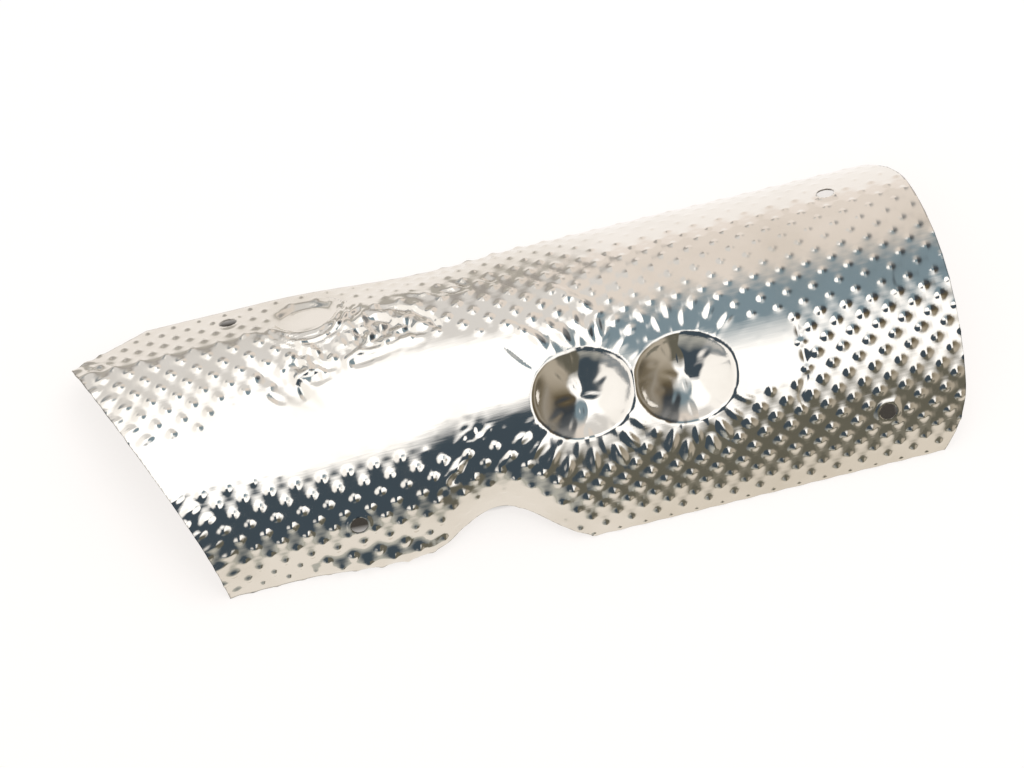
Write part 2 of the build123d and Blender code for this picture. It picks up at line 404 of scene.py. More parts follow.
def half_section(x, side):
    """The half section at x, its crown and its bend, with side +1 for the back."""
    if side > 0:
        return mixed(FLAT_BACK, ROUND_SIDE, roundness(x, side))
    return mixed(mixed(FLAT_FRONT, ROUND_SIDE, roundness(x, side)), NECK_FRONT, neck(x))


def half_point(half, arc):
    """How far out and down a half section has gone after an arc length."""
    out = 0.0
    down = 0.0
    slope = 0.0
    for radius, end_slope in half:
        run = min(arc, radius * (math.radians(end_slope) - slope))
        bent = slope + run / radius
        out += radius * (math.sin(bent) - math.sin(slope))
        down += radius * (math.cos(slope) - math.cos(bent))
        slope = bent
        arc -= run
    return out + arc * math.cos(slope), down + arc * math.sin(slope)


def edge_arc(x, side, lift=0.0):
    """Arc length to the floor, or to a height above it."""
    half = half_section(x, side)
    (crown_radius, crown_slope), (bend_radius, wall_slope) = half
    bend_end = crown_radius * math.radians(crown_slope)
    bend_end += bend_radius * math.radians(wall_slope - crown_slope)
    bend_drop = half_point(half, bend_end)[1]
    return bend_end + (crown_height(x) - lift - bend_drop) / math.sin(math.radians(wall_slope))


def sheet_point(x, arc):
    """The point of the outer skin at that place."""
    side = 1 if arc >= 0 else -1
    out, down = half_point(half_section(x, side), abs(arc))
    return Vector((x, side * out, crown_height(x) - down))


def sheet_normal(x, arc):
    """The direction straight out of the skin at that place."""
    along = sheet_point(x + SMALL_STEP, arc) - sheet_point(x - SMALL_STEP, arc)
    across = sheet_point(x, arc + SMALL_STEP) - sheet_point(x, arc - SMALL_STEP)
    return along.cross(across).normalized()


# Where the two edges stand farthest out, and half the width that the ends are cut to
BACK_FOOT = sheet_point(FLAT_UNTIL, edge_arc(FLAT_UNTIL, 1)).y
FRONT_FOOT = sheet_point(ROUND_FROM, -edge_arc(ROUND_FROM, -1)).y
SIDE = BACK_FOOT + SPARE

# Where the press flattens the dots: the place, how much of them stays there, and between which
# distances that fades
FLATTENED = (
    *((place, 0.25, (POCKET_RADIUS + 1 * MM, POCKET_RADIUS + 6 * MM)) for place in POCKETS),
    (PAD, 0.1, (PAD_FLOOR_RADIUS, PAD_FLOOR_RADIUS + 5 * MM)),
    ((NECK_X, -edge_arc(NECK_X, -1)), 0.25, (12 * MM, 24 * MM)),
    *((place, 0.0, (3 * MM, 6 * MM)) for place in HOLES),
)


def edge_lift(x, side):
    """The outer skin ends this far above the floor, so that the inner skin ends on it."""
    return SHEET * math.cos(math.radians(half_section(x, side)[1][1]))


def past_back_edge(x, arc):
    """The back edge stands on the floor."""
    return arc - edge_arc(x, 1, edge_lift(x, 1))


def past_front_edge(x, arc):
    """The front edge stands on the floor, with a shallow arch trimmed out at the neck."""
    radius = (NECK_HALF_LENGTH ** 2 + NECK_RELIEF ** 2) / (2 * NECK_RELIEF)
    reach = min(abs(x - NECK_X), NECK_HALF_LENGTH)
    lift = NECK_RELIEF - radius + math.sqrt(radius ** 2 - reach ** 2)
    return -arc - edge_arc(x, -1, lift + edge_lift(x, -1))


def past_square_end(x, arc):
    """The square end bows out, with round corners."""
    bow = (SIDE ** 2 + END_BULGE ** 2) / (2 * END_BULGE)
    bow_x = SQUARE_END_X - bow
    corner_y = SIDE - END_CORNER
    corner_x = bow_x + math.sqrt((bow - END_CORNER) ** 2 - corner_y ** 2)
    y = abs(sheet_point(x, arc).y)
    if y < corner_y * bow / (bow - END_CORNER):
        return x - bow_x - math.sqrt(bow ** 2 - y ** 2)
    return x - corner_x - math.sqrt(max(END_CORNER ** 2 - (y - corner_y) ** 2, 0.0))


def past_slant(x, arc):
    """The slanted end, a straight cut as seen from above."""
    y = sheet_point(x, arc).y
    line = Vector((SLANT_SETBACK, -SLANT_FRONT - TIP_Y)).normalized()
    return line.y * (x - TIP_X) - line.x * (y - TIP_Y)


def past_tip_trim(x, arc):
    """The trimmed tip, a straight cut as seen from above."""
    y = sheet_point(x, arc).y
    line = Vector((TIP_TRIM, SIDE - TIP_Y)).normalized()
    return line.x * (y - TIP_Y) - line.y * (x - TIP_X)


def in_hole(place, radius):
    """How far inside a hole a place on the sheet is."""
    return lambda x, arc: radius - math.dist((x, arc), place)


def slide_to_line(vert, outside):
    """Moves a cut vertex of the blank onto the line where outside is zero."""
    for _ in range(SLIDES):
        x, arc, _z = vert.co
        miss = outside(x, arc)
        rise_x = outside(x + SMALL_STEP, arc) - outside(x - SMALL_STEP, arc)
        rise_arc = outside(x, arc + SMALL_STEP) - outside(x, arc - SMALL_STEP)
        slope_x = rise_x / (2 * SMALL_STEP)
        slope_arc = rise_arc / (2 * SMALL_STEP)
        steep = max(slope_x ** 2 + slope_arc ** 2, LEAST_SQUARED_SLOPE)
        vert.co.x -= miss * slope_x / steep
        vert.co.y -= miss * slope_arc / steep


def trim(bm, outside):
    """Cuts the blank away where outside(x, arc) is above zero."""
    for vert in bm.verts:
        vert.co.z = outside(vert.co.x, vert.co.y)
    cut = bmesh.ops.bisect_plane(
        bm, geom=bm.verts[:] + bm.edges[:] + bm.faces[:], dist=SNAP,
        plane_co=(0, 0, 0), plane_no=(0, 0, 1), clear_outer=True
    )
    for element in cut["geom_cut"]:
        if isinstance(element, bmesh.types.BMVert):
            slide_to_line(element, outside)
    for vert in bm.verts:
        vert.co.z = 0.0


def to_dots(place):
    """Draws evenly spaced mesh lines together where the rows of dots are."""
    turn = math.tau * place / ROW
    return place - LINES_TO_DOTS * ROW / math.tau * math.sin(turn)


def trimmed_blank(hole):
    """The flat blank, its x along X and its arc along Y, trimmed to the outline with its holes."""
    columns_left = math.ceil((DOT_X - TIP_X) / QUAD) + 1
    columns_right = math.ceil((SQUARE_END_X - DOT_X) / QUAD) + 1
    columns = columns_left + columns_right
    rows = 2 * ROWS_A_SIDE * QUADS_A_ROW
    middle = DOT_X + (columns_right - columns_left) * QUAD / 2
    bm = bmesh.new()
    bmesh.ops.create_grid(bm, x_segments=columns, y_segments=rows, size=0.5)
    bmesh.ops.scale(bm, vec=(columns * QUAD, rows * QUAD, 1), verts=bm.verts)
    bmesh.ops.translate(bm, vec=(middle, 0, 0), verts=bm.verts)
    spare = bm.verts.layers.int.new("spare")
    for vert in bm.verts:
        vert[spare] = round((vert.co.x - DOT_X) / QUAD) % 2 + round(vert.co.y / QUAD) % 2
        vert.co.x = to_dots(vert.co.x - DOT_X) + DOT_X
        vert.co.y = to_dots(vert.co.y)
    for outside in (past_back_edge, past_front_edge, past_square_end, past_slant, past_tip_trim):
        trim(bm, outside)
    for place in HOLES:
        trim(bm, in_hole(place, hole / 2))
    edge_verts = [vert for vert in bm.verts if vert.is_boundary]
    bmesh.ops.remove_doubles(bm, verts=edge_verts, dist=SNAP / 2)
    return bm


def along_line(line, x):
    """The arc at x on a broken line of (x, arc) points in millimetres."""
    x /= MM
    if x <= line[0][0]:
        return line[0][1] * MM
    for (from_x, from_arc), (to_x, to_arc) in zip(line, line[1:]):
        if x <= to_x:
            return (from_arc + (to_arc - from_arc) * (x - from_x) / (to_x - from_x)) * MM
    return line[-1][1] * MM


def on_smooth(inside, fade):
    """How much of a dot stays so far inside the edge of a smooth place."""
    return 1 - (1 - SMOOTH_KEEPS) * rise(inside, (-fade / 2, fade / 2))


def dot_share(x, arc):
    """How much of a dot the press has left at that place, about from 0 to 1."""
    share = 1.0
    if x < BAND_BACK[-1][0] * MM:
        inside = min(along_line(BAND_BACK, x) - arc, arc - along_line(BAND_FRONT, x))
        share *= on_smooth(inside, BAND_FADE)
    (low_x, low_arc), (high_x, high_arc) = PATCH
    inside = min(x - low_x * MM, high_x * MM - x, arc - low_arc * MM, high_arc * MM - arc)
    share *= on_smooth(inside, PATCH_FADE)
    for place, kept, fade in FLATTENED:
        share *= kept + (1 - kept) * rise(math.dist((x, arc), place), fade)
    share *= 1 - LOWER_BACK * rise(arc, LOWER_ACROSS) * rise(x, LOWER_ALONG)
    return share * (1 + HIGHER_FRONT * rise(-arc, HIGHER_ACROSS))


def verts_by_cell(bm):
    """The blank's vertices sorted into square cells, one row of dots wide."""
    cells = {}
    for vert in bm.verts:
        cell = (math.floor(vert.co.x / ROW), math.floor(vert.co.y / ROW))
        cells.setdefault(cell, []).append(vert)
    return cells


def cells_across(place, reach):
    """Numbers of the cells that a reach to both sides of a place touches."""
    return range(math.floor((place - reach) / ROW), math.floor((place + reach) / ROW) + 1)


def near(cells, x, arc, reach):
    """Vertices of the blank in the cells round a place."""
    for column in cells_across(x, reach):
        for row in cells_across(arc, reach):
            yield from cells.get((column, row), ())


def raise_dot(cells, x, arc, height, radius, stretch=1.0, direction=(1, 0)):
    """One rounded dot, or a dimple where the height is negative, drawn out along a direction."""
    along_x, along_arc = direction
    for vert in near(cells, x, arc, radius * stretch):
        dx = vert.co.x - x
        da = vert.co.y - arc
        along = (dx * along_x + da * along_arc) / stretch
        across = da * along_x - dx * along_arc
        square = (along ** 2 + across ** 2) / radius ** 2
        if square < 1:
            vert.co.z += height * (1 - square) ** 2


def drawn_out(x, arc):
    """How far the press draws a dot out, and in which direction."""
    for place in POCKETS:
        away = math.dist((x, arc), place)
        pull = 1 - rise(away, POCKET_PULL_FADE)
        if pull > 0:
            return 1 + POCKET_PULL * pull, ((x - place[0]) / away, (arc - place[1]) / away)
    pull = rise(past_slant(x, arc), SLANT_PULL_RISE)
    line = Vector((SLANT_FRONT + TIP_Y, SLANT_SETBACK)).normalized()
    return 1 + SLANT_PULL * pull, tuple(line)


def emboss(bm, sizes):
    """Dots on every other place of the pattern, with shallow dimples between them."""
    chance = random.Random(DOT_SEED)
    cells = verts_by_cell(bm)
    columns = math.ceil(LENGTH / ROW)
    for row in range(-ROWS_A_SIDE, ROWS_A_SIDE + 1):
        for column in range(-columns, columns):
            x = DOT_X + column * ROW
            arc = row * ROW
            share = dot_share(x, arc) * chance.uniform(*DOT_CHANCE)
            radius = sizes.dot_radius
            radius *= LOW_DOT_RADIUS + (1 - LOW_DOT_RADIUS) * min(share, 1.0)
            if (column + row) % 2:
                raise_dot(cells, x, arc, -sizes.dimple_depth * share, radius)
                continue
            stretch, direction = drawn_out(x, arc)
            raise_dot(cells, x, arc, sizes.dot_height * share, radius, stretch, direction)


def fold(cells, x, arc, to_x, to_arc, half_width, height):
    """One soft fold along a straight line, a ridge or a valley, that runs out to points."""
    half_length = math.dist((x, arc), (to_x, to_arc)) / 2
    reach = half_length + half_width
    middle_x = (x + to_x) / 2
    middle_arc = (arc + to_arc) / 2
    along_x = (to_x - x) / 2 / half_length
    along_arc = (to_arc - arc) / 2 / half_length
    for vert in near(cells, middle_x, middle_arc, reach):
        dx = vert.co.x - middle_x
        da = vert.co.y - middle_arc
        full = 1 - ((dx * along_x + da * along_arc) / reach) ** 2
        if full > 0:
            width = half_width * (FOLD_POINT + (1 - FOLD_POINT) * full)
            across = (da * along_x - dx * along_arc) / width
            vert.co.z += height * full * math.exp(-across ** 2)


def crumple(cells, x, arc, radius, height):
    """Sharp creases in every direction within a round place."""
    for vert in near(cells, x, arc, radius):
        share = ease(1 - math.dist(vert.co.xy, (x, arc)) / radius)
        place = vert.co.xy.to_3d() / MM
        crease = CREASE_LEVEL - abs(noise.noise(place / CREASE))
        crease += FINE_SHARE * noise.noise(place / FINE_CREASE)
        vert.co.z += height * share * crease


def ring_folds(cells, height):
    """Ring folds round the pad, most of them to its front right."""
    x, arc = PAD
    for vert in near(cells, x, arc, PAD_REACH):
        away = math.dist(vert.co.xy, PAD) - PAD_FLOOR_RADIUS
        side = ease(0.5 + RING_LEAN * (vert.co.x - x - vert.co.y + arc) / PAD_REACH)
        fade = rise(away, RING_BEGIN) * (1 - rise(away, RING_END))
        vert.co.z += height * side * fade * math.cos(math.tau * away / RING_PITCH)


def hole_rims(cells, hole, height):
    """The rims that punching leaves round the holes."""
    for x, arc in HOLES:
        for vert in near(cells, x, arc, hole):
            away = math.dist(vert.co.xy, (x, arc)) - hole / 2
            vert.co.z += height * math.exp(-((away - RIM_TOP) / RIM_WIDTH) ** 2)


def handle(bm, sizes):
    """The folds, crumples, ring folds and raised rims that pressing and handling leave."""
    cells = verts_by_cell(bm)
    for row in FOLDS:
        fold(cells, *[value * MM for value in row])
    for *row, amount in CRUMPLES:
        crumple(cells, *[value * MM for value in row], amount * sizes.crumple)
    ring_folds(cells, sizes.ring)
    hole_rims(cells, sizes.hole, sizes.hole_rim)


def wave(bm, height):
    """Slight waves, as thin sheet has after pressing."""
    for vert in bm.verts:
        place = vert.co.xy.to_3d() / MM
        share = noise.noise(place / WAVE) + RIPPLE_SHARE * noise.noise(place / RIPPLE)
        vert.co.z += height * share


def form(bm):
    """Bends the flat embossed blank into its tunnel form, and remembers its relief."""
    relief = bm.verts.layers.float.new("relief")
    for vert in bm.verts:
        x, arc, height = vert.co
        vert[relief] = height
        vert.co = sheet_point(x, arc) + sheet_normal(x, arc) * height


def lower_of(first, second, corner):
    """The lower of two heights, with a rounded corner between them."""
    share = max(corner - abs(first - second), 0.0) / corner
    return min(first, second) - share * share * corner / 4


def press(bm, place, reach, corner, tool_height):
    """Presses a round tool into the formed sheet, straight down on that place."""
    middle = sheet_point(*place)
    axis = sheet_normal(*place)
    for vert in bm.verts:
        step = vert.co - middle
        height = step.dot(axis)
        radius = (step - axis * height).length
        if radius < reach and height < reach:
            vert.co += axis * (lower_of(height, tool_height(radius, vert), corner) - height)


def press_pockets(bm, sizes):
    """Two bowls with slightly uneven walls, in which the flattened dots still show."""
    relief = bm.verts.layers.float["relief"]

    def bowl(radius, vert):
        """Height of the bowl's wall under a vertex, from the rim down."""
        depth = sizes.pocket_depth * ((radius / POCKET_RADIUS) ** POCKET_FULLNESS - 1)
        uneven = sizes.pocket_uneven * noise.noise(vert.co / UNEVEN)
        return depth + uneven + DOTS_IN_POCKETS * vert[relief]

    for place in POCKETS:
        press(bm, place, POCKET_REACH, POCKET_CORNER, bowl)
    bm.verts.layers.float.remove(relief)


def press_pad(bm, depth):
    """The shallow round pad, with a flat floor and a sloping wall."""
    slope = math.tan(math.radians(PAD_WALL_SLOPE))
    press(
        bm, PAD, PAD_REACH, PAD_CORNER,
        lambda radius, vert: max(radius - PAD_FLOOR_RADIUS, 0.0) * slope - depth
    )


def thicken(bm, sheet):
    """Gives the sheet its thickness inwards, with sharp cut edges that have their own finish, and
    marks them for the painted shade along the edges.
    """
    skin = set(bm.faces)
    edges = [edge for edge in bm.edges if edge.is_boundary]
    bmesh.ops.solidify(bm, geom=bm.faces[:], thickness=sheet)
    for face in bm.faces:
        face.smooth = True
    rims = {face for edge in edges for face in edge.link_faces if face not in skin}
    if len(rims) != len(edges):
        raise RuntimeError("the cut edges of the sheet are not closed")
    # The cut edges' vertices carry a painted shade that darkens the sheet's colour along them
    edge_shade = bm.verts.layers.float.new("painted_edge_shade")
    for face in rims:
        face.material_index = 1
        for edge in face.edges:
            edge.smooth = all(other in rims for other in edge.link_faces)
        for vert in face.verts:
            vert[edge_shade] = 1.0
    thin_out(bm, {face for face in bm.faces if face not in skin and face not in rims})


def thin_out(bm, inner):
    """Leaves out every other mesh line of the inner side."""
    spare = bm.verts.layers.int["spare"]
    inside = [
        vert for vert in bm.verts
        if vert[spare] and all(face in inner for face in vert.link_faces)
    ]
    crossings = [vert for vert in inside if vert[spare] == 2]
    between = [vert for vert in inside if vert[spare] == 1]
    bmesh.ops.dissolve_verts(bm, verts=crossings)
    bmesh.ops.dissolve_verts(bm, verts=[vert for vert in between if len(vert.link_edges) == 2])
    bm.verts.layers.int.remove(spare)


def keep_in_box(bm):
    """No dot or wave passes the box that the part is made to."""
    low, high = CAD_BOX
    for vert in bm.verts:
        for axis in range(3):
            vert.co[axis] = min(max(vert.co[axis], low[axis]), high[axis])


def new_piece(name, bm, *materials):
    """Makes an object at the origin from the mesh, and frees the mesh."""
    mesh = bpy.data.meshes.new(name)
    bm.to_mesh(mesh)
    bm.free()
    for material in materials:
        mesh.materials.append(material)
    piece = bpy.data.objects.new(name, mesh)
    bpy.context.scene.collection.objects.link(piece)
    return piece


def new_material(name):
    """An empty material and its node tree."""
    material = bpy.data.materials.new(name)
    material.use_nodes = True
    material.node_tree.nodes.clear()
    return material, material.node_tree


def add_node(tree, kind, output, inputs=None, **settings):
    """Adds a node, sets it, fills its inputs with values or outputs, and gives its output."""
    node = tree.nodes.new(kind)
    for name, value in settings.items():
        setattr(node, name, value)
    for name, value in (inputs or {}).items():
        if isinstance(value, bpy.types.NodeSocket):
            tree.links.new(value, node.inputs[name])
        else:
            node.inputs[name].default_value = value
    return node.outputs[output]


def calculate(tree, operation, *values):
    """Reckons with values and outputs."""
    return add_node(
        tree, "ShaderNodeMath", "Value", dict(enumerate(values)), operation=operation
    )


def map_range(tree, value, span, result=(0, 1), **settings):
    """Takes a value that goes over one span to another."""
    inputs = {
        "Value": value,
        "From Min": span[0],
        "From Max": span[1],
        "To Min": result[0],
        "To Max": result[1],
    }
    return add_node(tree, "ShaderNodeMapRange", "Result", inputs, **settings)


def mix(tree, share, first, second):
    """Goes from one colour to another."""
    return add_node(
        tree, "ShaderNodeMix", "Result", {"Factor": share, "A": first, "B": second},
        data_type="RGBA"
    )


def opaque(colour, strength=1.0):
    """A colour with its alpha, made darker where the strength is below 1."""
    return (*[strength * value for value in colour], 1)


def place_on(tree):
    """Where a point lies on its object."""
    return add_node(tree, "ShaderNodeTexCoord", "Object")


def split_place(tree, place):
    """The X, Y and Z of a place, as outputs by name."""
    parts = tree.nodes.new("ShaderNodeSeparateXYZ")
    tree.links.new(place, parts.inputs["Vector"])
    return parts.outputs


def show(tree, shader):
    """Makes a shader the material's surface."""
    output = tree.nodes.new("ShaderNodeOutputMaterial")
    tree.links.new(shader, output.inputs["Surface"])


# The sheet's dull smudges, its painted shade along the cut edges and its fine rolling lines along
# the tunnel
SMUDGE_SCALE = 38
SMUDGE_DETAIL = 5
SMUDGE_SPAN = (0.45, 0.75)
SMUDGE_ROUGHER = 0.12
EDGE_SHADE_NARROW = 2.5
EDGE_SHADE_STRENGTH = 0.2
GRAIN_SCALE = (60, 900, 900)
GRAIN_DETAIL = 3
GRAIN_STRENGTH = 0.08
GRAIN_HEIGHT = 0.2 * MM

# The sheared edges, mottled between a dark and a paler tone of the steel; the darkness is partly a
# sheared edge's dull tone and partly painted shade
CUT_SCALE = 900
CUT_DARK = 0.35
CUT_PALE = 0.7
CUT_ROUGHNESS = 0.45


def embossed_steel(finish):
    """Bright thin sheet: dull smudges, fine rolling lines and painted shade along the cut edges."""
    material, tree = new_material("embossed_steel")
    place = place_on(tree)
    clouds = add_node(
        tree, "ShaderNodeTexNoise", "Fac",
        {"Vector": place, "Scale": SMUDGE_SCALE, "Detail": SMUDGE_DETAIL}
    )
    dull = map_range(tree, clouds, SMUDGE_SPAN)
    colour = mix(tree, dull, opaque(finish.steel), opaque(finish.smudge))
    # Painted shade: the colour darkens in a narrow band along the cut edges
    edge_shade = add_node(tree, "ShaderNodeAttribute", "Fac", attribute_name="painted_edge_shade")
    line = calculate(tree, "POWER", edge_shade, EDGE_SHADE_NARROW)
    rougher = finish.roughness + SMUDGE_ROUGHER
    gloss = map_range(tree, dull, (0, 1), (finish.roughness, rougher))
    stretched = add_node(
        tree, "ShaderNodeMapping", "Vector", {"Vector": place, "Scale": GRAIN_SCALE}
    )
    grain = add_node(
        tree, "ShaderNodeTexNoise", "Fac",
        {"Vector": stretched, "Scale": 1, "Detail": GRAIN_DETAIL}
    )
    normal = add_node(
        tree, "ShaderNodeBump", "Normal",
        {"Height": grain, "Strength": GRAIN_STRENGTH, "Distance": GRAIN_HEIGHT}
    )
    shader = add_node(
        tree, "ShaderNodeBsdfPrincipled", "BSDF",
        {
            "Base Color": mix(tree, line, colour, opaque(finish.steel, EDGE_SHADE_STRENGTH)),
            "Metallic": 1.0,
            "Roughness": gloss,
            "Normal": normal,
        }
    )
    show(tree, shader)
    return material


def cut_edge(finish):
    """The sheared edges of the sheet: dull and mottled, and darker, partly as a sheared edge's tone
    and partly as painted shade.
    """
    material, tree = new_material("cut_edge")
    specks = add_node(
        tree, "ShaderNodeTexNoise", "Fac", {"Vector": place_on(tree), "Scale": CUT_SCALE}
    )
    # Partly painted shade: both tones are darkened steel
    colour = mix(tree, specks, opaque(finish.steel, CUT_DARK), opaque(finish.steel, CUT_PALE))
    shader = add_node(
        tree, "ShaderNodeBsdfPrincipled", "BSDF",
        {"Base Color": colour, "Metallic": 1.0, "Roughness": CUT_ROUGHNESS}
    )
    show(tree, shader)
    return material


class SHIELD_OT_heat_shield(bpy.types.Operator):
    """Trims, embosses, forms and presses the sheet"""

    bl_idname = "shield.heat_shield"
    bl_label = "Heat shield"

    def execute(self, context):
        sizes = context.scene.shield_sizes
        finish = context.scene.shield_finish
        bm = trimmed_blank(sizes.hole)
        emboss(bm, sizes)
        handle(bm, sizes)
        wave(bm, sizes.wave)
        form(bm)
        press_pockets(bm, sizes)
        press_pad(bm, sizes.pad_depth)
        bmesh.ops.translate(bm, vec=(0, -(BACK_FOOT + FRONT_FOOT) / 2, 0), verts=bm.verts)
        bmesh.ops.recalc_face_normals(bm, faces=bm.faces)
        if sum(face.normal.z for face in bm.faces) < 0:
            bmesh.ops.reverse_faces(bm, faces=bm.faces)
        thicken(bm, sizes.sheet)
        keep_in_box(bm)
        piece = new_piece("heat_shield_sheet", bm, embossed_steel(finish), cut_edge(finish))
        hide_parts("heat_shield")
        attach(piece, "root")
        return {"FINISHED"}


# What the bright sheet mirrors: a soft tent of plain cards with soft edges between them,
# as (first and last degree from straight up to the front, colour)
TENT_LEFT = (
    (-92, -84, (0.44, 0.42, 0.4)),
    (-70, -48, (0.82, 0.81, 0.8)),
    (-38, 1, (1.5, 1.5, 1.5)),
    (12, 70, (0.06, 0.085, 0.11)),
    (92, 92, (0.6, 0.6, 0.55)),
)
TENT_RIGHT = (
    (-92, -50, (0.9, 0.83, 0.77)),
    (-30, -12, (0.24, 0.33, 0.39)),
    (9, 38, (1.4, 1.4, 1.4)),
    (58, 92, (0.15, 0.145, 0.115)),
)
# Its left end from the floor up, in metres
TENT_LEFT_END = (
    (0.0, (0.85, 0.82, 0.78)),
    (0.1, (0.55, 0.55, 0.54)),
    (0.2, (0.26, 0.3, 0.33)),
    (0.26, (0.45, 0.46, 0.47)),
    (0.32, (1.15, 1.13, 1.1)),
    (0.7, (1.25, 1.24, 1.22)),
)
TENT_UP = (0.0, 0.7)
# Its right end from the front to the back, in metres
TENT_RIGHT_END = (
    (-0.6, (0.52, 0.47, 0.39)),
    (-0.3, (0.3, 0.26, 0.19)),
    (-0.1, (0.13, 0.105, 0.065)),
    (0.2, (0.05, 0.062, 0.076)),
    (0.4, (0.11, 0.12, 0.13)),
    (0.6, (0.36, 0.36, 0.36)),
)
TENT_ACROSS = (-0.7, 0.7)
# Past that end a warmer one from the floor up, in metres
TENT_FAR_END = (
    (0.0, (0.1, 0.085, 0.06)),
    (0.12, (0.2, 0.17, 0.12)),
    (0.28, (0.36, 0.33, 0.28)),
    (0.45, (0.3, 0.26, 0.2)),
)
# Its size, its brightest light, and the angles that its colours go over
TENT_RADIUS = 0.7
TENT_HALF_LENGTH = 1.1
TENT_BRIGHTEST = 1.5
TENT_SPAN = (math.radians(-120), math.radians(120))
# Each change along the tent: its first and last x, and how far it slants to the back
TENT_LEFT_END_AT = (-0.4, -0.22, 0.18)
TENT_CHANGE_AT = (0.048, 0.094, 0.04)
TENT_RIGHT_END_AT = (0.24, 0.4, 0.0)
TENT_FAR_END_AT = (0.62, 0.92, 0.0)

# What it mirrors of the floor, with a painted shadow under the shield, as (first and last metre to
# the back, colour)
FLOOR_LEFT = (
    (-0.3, -0.2, (0.5, 0.5, 0.45)),
    (-0.08, -0.035, (0.92, 0.87, 0.8)),
    (-0.03, 0.03, (0.3, 0.28, 0.26)),
    (0.035, 0.07, (1.0, 0.96, 0.92)),
    (0.11, 0.3, (0.52, 0.5, 0.46)),
)
FLOOR_RIGHT = (
    (-0.3, -0.125, (0.22, 0.21, 0.17)),
    (-0.07, -0.035, (0.82, 0.76, 0.67)),
    (-0.03, 0.03, (0.3, 0.28, 0.26)),
    (0.035, 0.1, (1.08, 1.05, 1.03)),
    (0.18, 0.3, (0.98, 0.91, 0.86)),
)
FLOOR_SPAN = (-0.4, 0.4)
FLOOR_CHANGE_AT = (0.008, 0.045, 0.04)
# The painted shadow on the floor deep under the shield: its middle, how far out it starts and stops
# to fade, and how it turns against the tunnel
UNDER_ALONG = (0.012, 0.104, 0.116)
UNDER_ACROSS = (0.005, 0.0374, 0.0412)
UNDER_TURN = 0.05
# The colour of the painted shadow on that floor, and how the camera sees it and the floor round it
UNDER_SHADE = (0.26, 0.24, 0.22)
UNDER_TINT = (0.05, 0.045, 0.04)
FLOOR_TINT = (1, 0.96, 0.93)
# How much of the floor is plain white to the camera, and how bright that is
FLOOR_SEEN = 0.72
FLOOR_WHITE = 1.06
# Its half width, its gap below the shield and its roughness
FLOOR_HALF_WIDTH = 6
FLOOR_GAP = 0.2 * MM
FLOOR_ROUGHNESS = 0.9
# The tent's mesh, round and up, and how far above the floor it is cut off
TENT_SEGMENTS = (64, 32)
TENT_FOOT = 2 * MM

# The lamp above, in metres and watts, and the white round everything
LAMP_AT = (0.25, 0.3, 1.2)
LAMP_SIZE = 0.8
LAMP_POWER = 6
LAMP_COLOUR = (1, 0.97, 0.93)
SKY_STRENGTH = 0.8


def soft_change():
    """The node group that goes softly from one colour to another along X, slanting to the back."""
    group = bpy.data.node_groups.get("soft_change")
    if group:
        return group
    group = bpy.data.node_groups.new("soft_change", "ShaderNodeTree")
    for name, kind in (
        ("Place", "Vector"), ("First", "Float"), ("Last", "Float"), ("Slant", "Float"),
        ("Before", "Color"), ("After", "Color"),
    ):
        group.interface.new_socket(name, in_out="INPUT", socket_type="NodeSocket" + kind)
    group.interface.new_socket("Colour", in_out="OUTPUT", socket_type="NodeSocketColor")
    given = group.nodes.new("NodeGroupInput").outputs
    parts = split_place(group, given["Place"])
    back = calculate(group, "MULTIPLY", parts["Y"], given["Slant"])
    along = calculate(group, "SUBTRACT", parts["X"], back)
    span = (given["First"], given["Last"])
    share = map_range(group, along, span, interpolation_type="SMOOTHSTEP")
    result = group.nodes.new("NodeGroupOutput")
    group.links.new(mix(group, share, given["Before"], given["After"]), result.inputs["Colour"])
    return group


def colour_change(tree, place, change, before, after):
    """Goes softly from one colour to another along X."""
    first, last, slant = change
    inputs = {
        "Place": place, "First": first, "Last": last, "Slant": slant,
        "Before": before, "After": after,
    }
    return add_node(tree, "ShaderNodeGroup", "Colour", inputs, node_tree=soft_change())


def card_edges(cards, unit=1.0):
    """Both edges of each card as (place, colour), for a colour ramp."""
    return [(unit * edge, colour) for *edges, colour in cards for edge in edges]


def colour_ramp(tree, where, span, stops):
    """Colours along one direction, from an output that goes over the span."""
    ramp = tree.nodes.new("ShaderNodeValToRGB")
    elements = ramp.color_ramp.elements
    while len(elements) < len(stops):
        elements.new(1.0)
    for element, (place, colour) in zip(elements, stops):
        element.position = (place - span[0]) / (span[1] - span[0])
        element.color = opaque(colour, 1 / TENT_BRIGHTEST)
    tree.links.new(map_range(tree, where, span), ramp.inputs["Fac"])
    return ramp.outputs["Color"]


def glow(tree, colour, strength):
    """Light of a colour."""
    return add_node(
        tree, "ShaderNodeEmission", "Emission", {"Color": colour, "Strength": strength}
    )


def tent_cloth():
    """Soft light that changes round the tent, from its left half to its right and at its ends."""
    material, tree = new_material("tent_cloth")
    place = place_on(tree)
    parts = split_place(tree, place)
    front = calculate(tree, "MULTIPLY", parts["Y"], -1)
    angle = calculate(tree, "ARCTAN2", front, parts["Z"])
    left, right = [
        colour_ramp(tree, angle, TENT_SPAN, card_edges(cards, math.radians(1)))
        for cards in (TENT_LEFT, TENT_RIGHT)
    ]
    left_end = colour_ramp(tree, parts["Z"], TENT_UP, TENT_LEFT_END)
    right_end = colour_ramp(tree, parts["Y"], TENT_ACROSS, TENT_RIGHT_END)
    far_end = colour_ramp(tree, parts["Z"], TENT_UP, TENT_FAR_END)
    colour = colour_change(tree, place, TENT_CHANGE_AT, left, right)
    colour = colour_change(tree, place, TENT_LEFT_END_AT, left_end, colour)
    colour = colour_change(tree, place, TENT_RIGHT_END_AT, colour, right_end)
    colour = colour_change(tree, place, TENT_FAR_END_AT, colour, far_end)
    show(tree, glow(tree, colour, TENT_BRIGHTEST))
    return material


